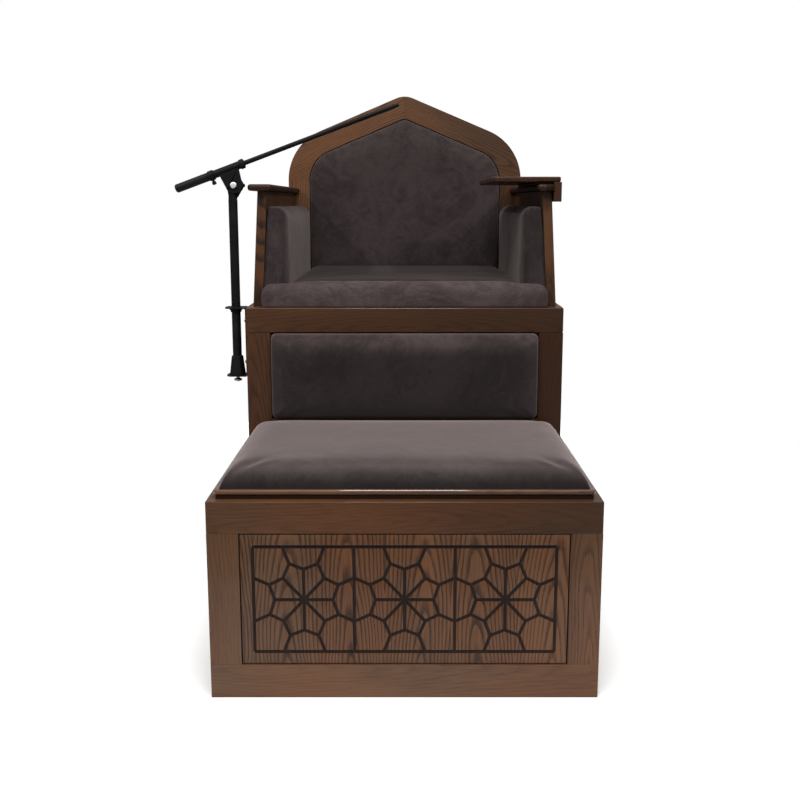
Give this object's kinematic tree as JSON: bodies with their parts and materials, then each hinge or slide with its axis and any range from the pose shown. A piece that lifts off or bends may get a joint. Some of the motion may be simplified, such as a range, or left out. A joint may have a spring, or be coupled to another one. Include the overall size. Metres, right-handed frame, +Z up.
{
  "type": "pulpit chair",
  "caption": "Wooden reciter's pulpit chair: carved step box with cushion, raised upholstered armchair with gabled back, swinging arm book board and side bracket with tilting microphone boom.",
  "frame": {"origin": "on the floor, in the symmetry plane of the boxes, in the middle of the lower box's front rail", "axes": "+X to the right of a person facing the chair, +Y from the front towards the backrest, +Z up"},
  "size_m": [0.949, 1.085, 1.3065],
  "materials": {
    "wood": "satin walnut-stained ash",
    "panel_wood": "satin stained ash veneer",
    "velvet": "short-pile velvet",
    "black_metal": "satin black paint",
    "black_plastic": "matt moulded",
    "steel": "zinc plated"
  },
  "bodies": {
    "chair": {"lower_top_rail": "wood", "lower_bottom_rail": "wood", "lower_stile_left": "wood", "lower_stile_right": "wood", "lower_side_left": "wood", "lower_side_right": "wood", "carved_panel": "panel_wood", "lower_rear_cleat": "wood", "lower_lid_spacer": "wood", "lower_lid": "wood", "lower_cushion": "velvet", "upper_top_rail": "wood", "upper_middle_rail": "wood", "upper_foot_rail": "wood", "upper_stile_left": "wood", "upper_stile_right": "wood", "upper_side_left": "wood", "upper_side_right": "wood", "front_pad_backing": "panel_wood", "front_pad": "velvet", "upper_seat_board": "panel_wood", "upper_rear_panel": "wood", "side_panel_left": "wood", "side_panel_right": "wood", "side_pad_left": "velvet", "side_pad_right": "velvet", "armrest_left": "wood", "armrest_right": "wood", "seat_cushion": "velvet", "backrest_bottom_rail": "wood", "backrest_stile_left": "wood", "backrest_stile_right": "wood", "backrest_gable_left": "wood", "backrest_gable_right": "wood", "backrest_panel": "panel_wood", "backrest_pad": "velvet", "tablet_side_block": "wood", "tablet_bolt": "steel", "tablet_rest_strip": "wood", "bracket": "black_metal", "bracket_screw_upper": "steel", "bracket_screw_lower": "steel", "bracket_bushing": "black_plastic"},
    "book_board": {"tablet_board": "wood"},
    "pole": {"pole": "black_metal", "pole_foot": "black_plastic", "swivel_base": "black_plastic", "pivot_bolt": "black_plastic"},
    "foot_bolt": {"foot_bolt": "steel"},
    "boom_head": {"boom_tee": "black_plastic", "clamp_collar": "black_plastic"},
    "tilt_knob": {"tilt_knob": "black_plastic"},
    "clamp_screw": {"clamp_screw": "black_plastic"},
    "boom": {"boom_rod": "black_metal", "counterweight": "black_metal", "boom_tip_thread": "black_metal"}
  },
  "joints": [
    {"name": "book_board_swing", "type": "hinge", "parent": "chair", "child": "book_board", "pos_m": [0.3705, 0.52, 1.0457], "axis": [0, 0, -1], "range_deg": [0, 110]},
    {"name": "pole_swivel", "type": "hinge", "parent": "chair", "child": "pole", "pos_m": [-0.4185, 0.496, 0.65], "axis": [0, 0, 1], "range_deg": [-90, 150]},
    {"name": "foot_bolt_turn", "type": "hinge", "parent": "chair", "child": "foot_bolt", "pos_m": [-0.4185, 0.496, 0.555], "axis": [0, 0, 1], "continuous": true},
    {"name": "boom_tilt", "type": "hinge", "parent": "pole", "child": "boom_head", "pos_m": [-0.4135, 0.496, 1.0315], "axis": [0, 1, 0], "range_deg": [-50, 35]},
    {"name": "tilt_knob_turn", "type": "hinge", "parent": "pole", "child": "tilt_knob", "pos_m": [-0.4135, 0.511, 1.0315], "axis": [0, 1, 0], "continuous": true},
    {"name": "clamp_screw_turn", "type": "hinge", "parent": "boom_head", "child": "clamp_screw", "pos_m": [-0.46344, 0.496, 1.03968], "axis": [-0.3469, 0, 0.9379], "continuous": true},
    {"name": "boom_slide", "type": "slide", "parent": "boom_head", "child": "boom", "axis": [0.9379, 0, 0.3469], "range_m": [-0.25, 0]}
  ]
}
